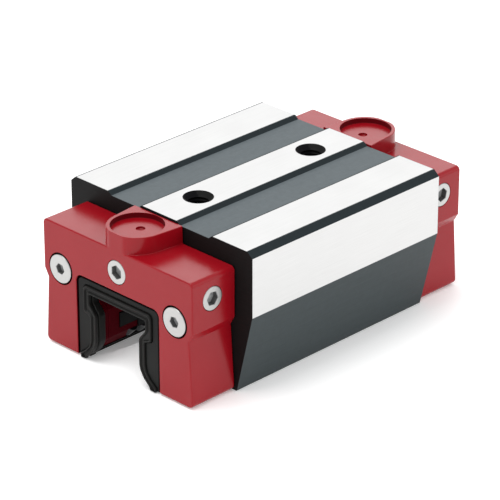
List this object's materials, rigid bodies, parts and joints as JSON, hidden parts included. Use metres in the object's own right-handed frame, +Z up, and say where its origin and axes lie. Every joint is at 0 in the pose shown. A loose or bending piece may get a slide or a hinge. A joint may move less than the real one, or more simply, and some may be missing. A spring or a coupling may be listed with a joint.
{
  "type": "linear guide carriage",
  "caption": "Roller-type linear guide carriage: grooved steel block with red end plates, rail wipers, lubrication ports and recirculating roller rows for a profiled rail",
  "frame": {"origin": "middle of the steel body's underside, on the plane the carriage stands on", "axes": "X across the rail, Y along the rail (travel), Z up through the table face"},
  "size_m": [0.1, 0.1504, 0.061],
  "materials": {
    "body_steel": "ground lands and sides, blackened elsewhere",
    "end_plate_plastic": "moulded, satin gloss, deep red",
    "guide_plastic": "moulded, low gloss",
    "wiper_carrier_plastic": "moulded, matte black",
    "strip_plastic": "extruded, matte black",
    "wiper_rubber": "moulded rubber, matte",
    "screw_steel": "bright zinc plated",
    "roller_steel": "polished bearing steel"
  },
  "bodies": {
    "carriage": {"carriage_body": "body_steel", "front_end_plate": "end_plate_plastic", "front_wiper_carrier": "wiper_carrier_plastic", "front_wiper_lip": "wiper_rubber", "front_lube_plug": "screw_steel", "front_return_guide_left": "guide_plastic", "front_end_screw_left": "screw_steel", "front_side_lube_plug_left": "screw_steel", "front_return_guide_right": "guide_plastic", "front_end_screw_right": "screw_steel", "front_side_lube_plug_right": "screw_steel", "rear_end_plate": "end_plate_plastic", "rear_wiper_carrier": "wiper_carrier_plastic", "rear_wiper_lip": "wiper_rubber", "rear_lube_plug": "screw_steel", "rear_return_guide_left": "guide_plastic", "rear_end_screw_left": "screw_steel", "rear_side_lube_plug_left": "screw_steel", "rear_return_guide_right": "guide_plastic", "rear_end_screw_right": "screw_steel", "rear_side_lube_plug_right": "screw_steel", "upper_retainer_left": "strip_plastic", "middle_retainer_left": "strip_plastic", "lower_retainer_left": "strip_plastic", "side_wiper_left": "wiper_rubber", "return_tube_upper_left": "strip_plastic", "roller_train_upper_left": "roller_steel", "return_tube_lower_left": "strip_plastic", "roller_train_lower_left": "roller_steel", "upper_retainer_right": "strip_plastic", "middle_retainer_right": "strip_plastic", "lower_retainer_right": "strip_plastic", "side_wiper_right": "wiper_rubber", "return_tube_upper_right": "strip_plastic", "roller_train_upper_right": "roller_steel", "return_tube_lower_right": "strip_plastic", "roller_train_lower_right": "roller_steel"},
    "load_roller_upper_left_1": {"load_roller_upper_left_1": "roller_steel"},
    "load_roller_upper_left_2": {"load_roller_upper_left_2": "roller_steel"},
    "load_roller_upper_left_3": {"load_roller_upper_left_3": "roller_steel"},
    "load_roller_upper_left_4": {"load_roller_upper_left_4": "roller_steel"},
    "load_roller_upper_left_5": {"load_roller_upper_left_5": "roller_steel"},
    "load_roller_upper_right_1": {"load_roller_upper_right_1": "roller_steel"},
    "load_roller_upper_right_2": {"load_roller_upper_right_2": "roller_steel"},
    "load_roller_upper_right_3": {"load_roller_upper_right_3": "roller_steel"},
    "load_roller_upper_right_4": {"load_roller_upper_right_4": "roller_steel"},
    "load_roller_upper_right_5": {"load_roller_upper_right_5": "roller_steel"},
    "load_roller_lower_left_1": {"load_roller_lower_left_1": "roller_steel"},
    "load_roller_lower_left_2": {"load_roller_lower_left_2": "roller_steel"},
    "load_roller_lower_left_3": {"load_roller_lower_left_3": "roller_steel"},
    "load_roller_lower_left_4": {"load_roller_lower_left_4": "roller_steel"},
    "load_roller_lower_left_5": {"load_roller_lower_left_5": "roller_steel"},
    "load_roller_lower_right_1": {"load_roller_lower_right_1": "roller_steel"},
    "load_roller_lower_right_2": {"load_roller_lower_right_2": "roller_steel"},
    "load_roller_lower_right_3": {"load_roller_lower_right_3": "roller_steel"},
    "load_roller_lower_right_4": {"load_roller_lower_right_4": "roller_steel"},
    "load_roller_lower_right_5": {"load_roller_lower_right_5": "roller_steel"}
  },
  "joints": [
    {"name": "roller_spin_upper_left_1", "type": "hinge", "parent": "carriage", "child": "load_roller_upper_left_1", "pos_m": [-0.01554, -0.036, 0.0206], "axis": [0.7071, 0, -0.7071], "continuous": true},
    {"name": "roller_spin_upper_left_2", "type": "hinge", "parent": "carriage", "child": "load_roller_upper_left_2", "pos_m": [-0.01554, -0.018, 0.0206], "axis": [0.7071, 0, -0.7071], "continuous": true},
    {"name": "roller_spin_upper_left_3", "type": "hinge", "parent": "carriage", "child": "load_roller_upper_left_3", "pos_m": [-0.01554, 0, 0.0206], "axis": [0.7071, 0, -0.7071], "continuous": true},
    {"name": "roller_spin_upper_left_4", "type": "hinge", "parent": "carriage", "child": "load_roller_upper_left_4", "pos_m": [-0.01554, 0.018, 0.0206], "axis": [0.7071, 0, -0.7071], "continuous": true},
    {"name": "roller_spin_upper_left_5", "type": "hinge", "parent": "carriage", "child": "load_roller_upper_left_5", "pos_m": [-0.01554, 0.036, 0.0206], "axis": [0.7071, 0, -0.7071], "continuous": true},
    {"name": "roller_spin_upper_right_1", "type": "hinge", "parent": "carriage", "child": "load_roller_upper_right_1", "pos_m": [0.01554, -0.036, 0.0206], "axis": [0.7071, 0, 0.7071], "continuous": true},
    {"name": "roller_spin_upper_right_2", "type": "hinge", "parent": "carriage", "child": "load_roller_upper_right_2", "pos_m": [0.01554, -0.018, 0.0206], "axis": [0.7071, 0, 0.7071], "continuous": true},
    {"name": "roller_spin_upper_right_3", "type": "hinge", "parent": "carriage", "child": "load_roller_upper_right_3", "pos_m": [0.01554, 0, 0.0206], "axis": [0.7071, 0, 0.7071], "continuous": true},
    {"name": "roller_spin_upper_right_4", "type": "hinge", "parent": "carriage", "child": "load_roller_upper_right_4", "pos_m": [0.01554, 0.018, 0.0206], "axis": [0.7071, 0, 0.7071], "continuous": true},
    {"name": "roller_spin_upper_right_5", "type": "hinge", "parent": "carriage", "child": "load_roller_upper_right_5", "pos_m": [0.01554, 0.036, 0.0206], "axis": [0.7071, 0, 0.7071], "continuous": true},
    {"name": "roller_spin_lower_left_1", "type": "hinge", "parent": "carriage", "child": "load_roller_lower_left_1", "pos_m": [-0.01554, -0.036, 0.0074], "axis": [-0.7071, 0, -0.7071], "continuous": true},
    {"name": "roller_spin_lower_left_2", "type": "hinge", "parent": "carriage", "child": "load_roller_lower_left_2", "pos_m": [-0.01554, -0.018, 0.0074], "axis": [-0.7071, 0, -0.7071], "continuous": true},
    {"name": "roller_spin_lower_left_3", "type": "hinge", "parent": "carriage", "child": "load_roller_lower_left_3", "pos_m": [-0.01554, 0, 0.0074], "axis": [-0.7071, 0, -0.7071], "continuous": true},
    {"name": "roller_spin_lower_left_4", "type": "hinge", "parent": "carriage", "child": "load_roller_lower_left_4", "pos_m": [-0.01554, 0.018, 0.0074], "axis": [-0.7071, 0, -0.7071], "continuous": true},
    {"name": "roller_spin_lower_left_5", "type": "hinge", "parent": "carriage", "child": "load_roller_lower_left_5", "pos_m": [-0.01554, 0.036, 0.0074], "axis": [-0.7071, 0, -0.7071], "continuous": true},
    {"name": "roller_spin_lower_right_1", "type": "hinge", "parent": "carriage", "child": "load_roller_lower_right_1", "pos_m": [0.01554, -0.036, 0.0074], "axis": [-0.7071, 0, 0.7071], "continuous": true},
    {"name": "roller_spin_lower_right_2", "type": "hinge", "parent": "carriage", "child": "load_roller_lower_right_2", "pos_m": [0.01554, -0.018, 0.0074], "axis": [-0.7071, 0, 0.7071], "continuous": true},
    {"name": "roller_spin_lower_right_3", "type": "hinge", "parent": "carriage", "child": "load_roller_lower_right_3", "pos_m": [0.01554, 0, 0.0074], "axis": [-0.7071, 0, 0.7071], "continuous": true},
    {"name": "roller_spin_lower_right_4", "type": "hinge", "parent": "carriage", "child": "load_roller_lower_right_4", "pos_m": [0.01554, 0.018, 0.0074], "axis": [-0.7071, 0, 0.7071], "continuous": true},
    {"name": "roller_spin_lower_right_5", "type": "hinge", "parent": "carriage", "child": "load_roller_lower_right_5", "pos_m": [0.01554, 0.036, 0.0074], "axis": [-0.7071, 0, 0.7071], "continuous": true}
  ],
  "couplings": [
    {"joint": "roller_spin_upper_left_2", "follows": "roller_spin_upper_left_1", "ratio": 1},
    {"joint": "roller_spin_upper_left_3", "follows": "roller_spin_upper_left_1", "ratio": 1},
    {"joint": "roller_spin_upper_left_4", "follows": "roller_spin_upper_left_1", "ratio": 1},
    {"joint": "roller_spin_upper_left_5", "follows": "roller_spin_upper_left_1", "ratio": 1},
    {"joint": "roller_spin_upper_right_1", "follows": "roller_spin_upper_left_1", "ratio": 1},
    {"joint": "roller_spin_upper_right_2", "follows": "roller_spin_upper_left_1", "ratio": 1},
    {"joint": "roller_spin_upper_right_3", "follows": "roller_spin_upper_left_1", "ratio": 1},
    {"joint": "roller_spin_upper_right_4", "follows": "roller_spin_upper_left_1", "ratio": 1},
    {"joint": "roller_spin_upper_right_5", "follows": "roller_spin_upper_left_1", "ratio": 1},
    {"joint": "roller_spin_lower_left_1", "follows": "roller_spin_upper_left_1", "ratio": 1},
    {"joint": "roller_spin_lower_left_2", "follows": "roller_spin_upper_left_1", "ratio": 1},
    {"joint": "roller_spin_lower_left_3", "follows": "roller_spin_upper_left_1", "ratio": 1},
    {"joint": "roller_spin_lower_left_4", "follows": "roller_spin_upper_left_1", "ratio": 1},
    {"joint": "roller_spin_lower_left_5", "follows": "roller_spin_upper_left_1", "ratio": 1},
    {"joint": "roller_spin_lower_right_1", "follows": "roller_spin_upper_left_1", "ratio": 1},
    {"joint": "roller_spin_lower_right_2", "follows": "roller_spin_upper_left_1", "ratio": 1},
    {"joint": "roller_spin_lower_right_3", "follows": "roller_spin_upper_left_1", "ratio": 1},
    {"joint": "roller_spin_lower_right_4", "follows": "roller_spin_upper_left_1", "ratio": 1},
    {"joint": "roller_spin_lower_right_5", "follows": "roller_spin_upper_left_1", "ratio": 1}
  ]
}
